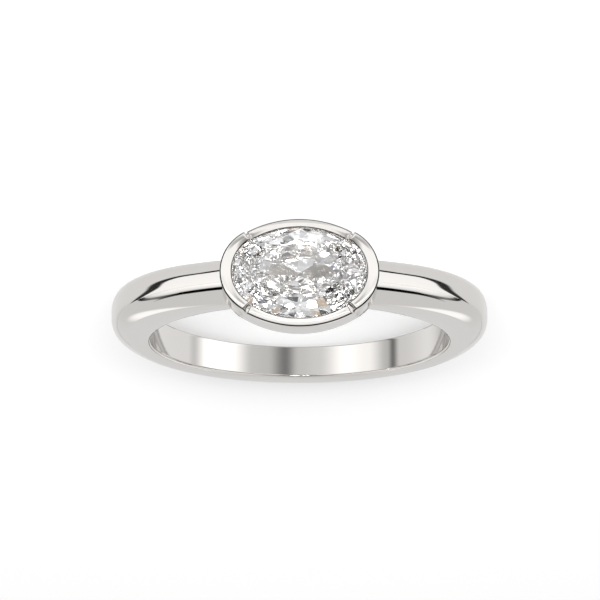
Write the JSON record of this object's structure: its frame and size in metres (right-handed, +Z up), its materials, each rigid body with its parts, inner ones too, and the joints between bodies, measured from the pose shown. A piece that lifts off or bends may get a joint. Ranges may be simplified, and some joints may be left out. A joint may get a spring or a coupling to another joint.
{
  "type": "oval stone ring",
  "caption": "Polished tapered finger ring with an oval stone set lengthwise across the finger in a split low bezel.",
  "frame": {"origin": "on the surface that the ring lies on, under the middle of its outline", "axes": "+Z up from the surface, +X along the stone's length, -Y towards the head, with the finger hole's axis leaning 6.2 degrees from +Z towards +Y as the ring lies"},
  "size_m": [0.0208, 0.0214, 0.0061],
  "materials": {
    "white_metal": "mirror polish",
    "clear_stone": "faceted and polished"
  },
  "bodies": {
    "root": {"band_with_bezel": "white_metal", "oval_stone": "clear_stone"}
  },
  "joints": []
}
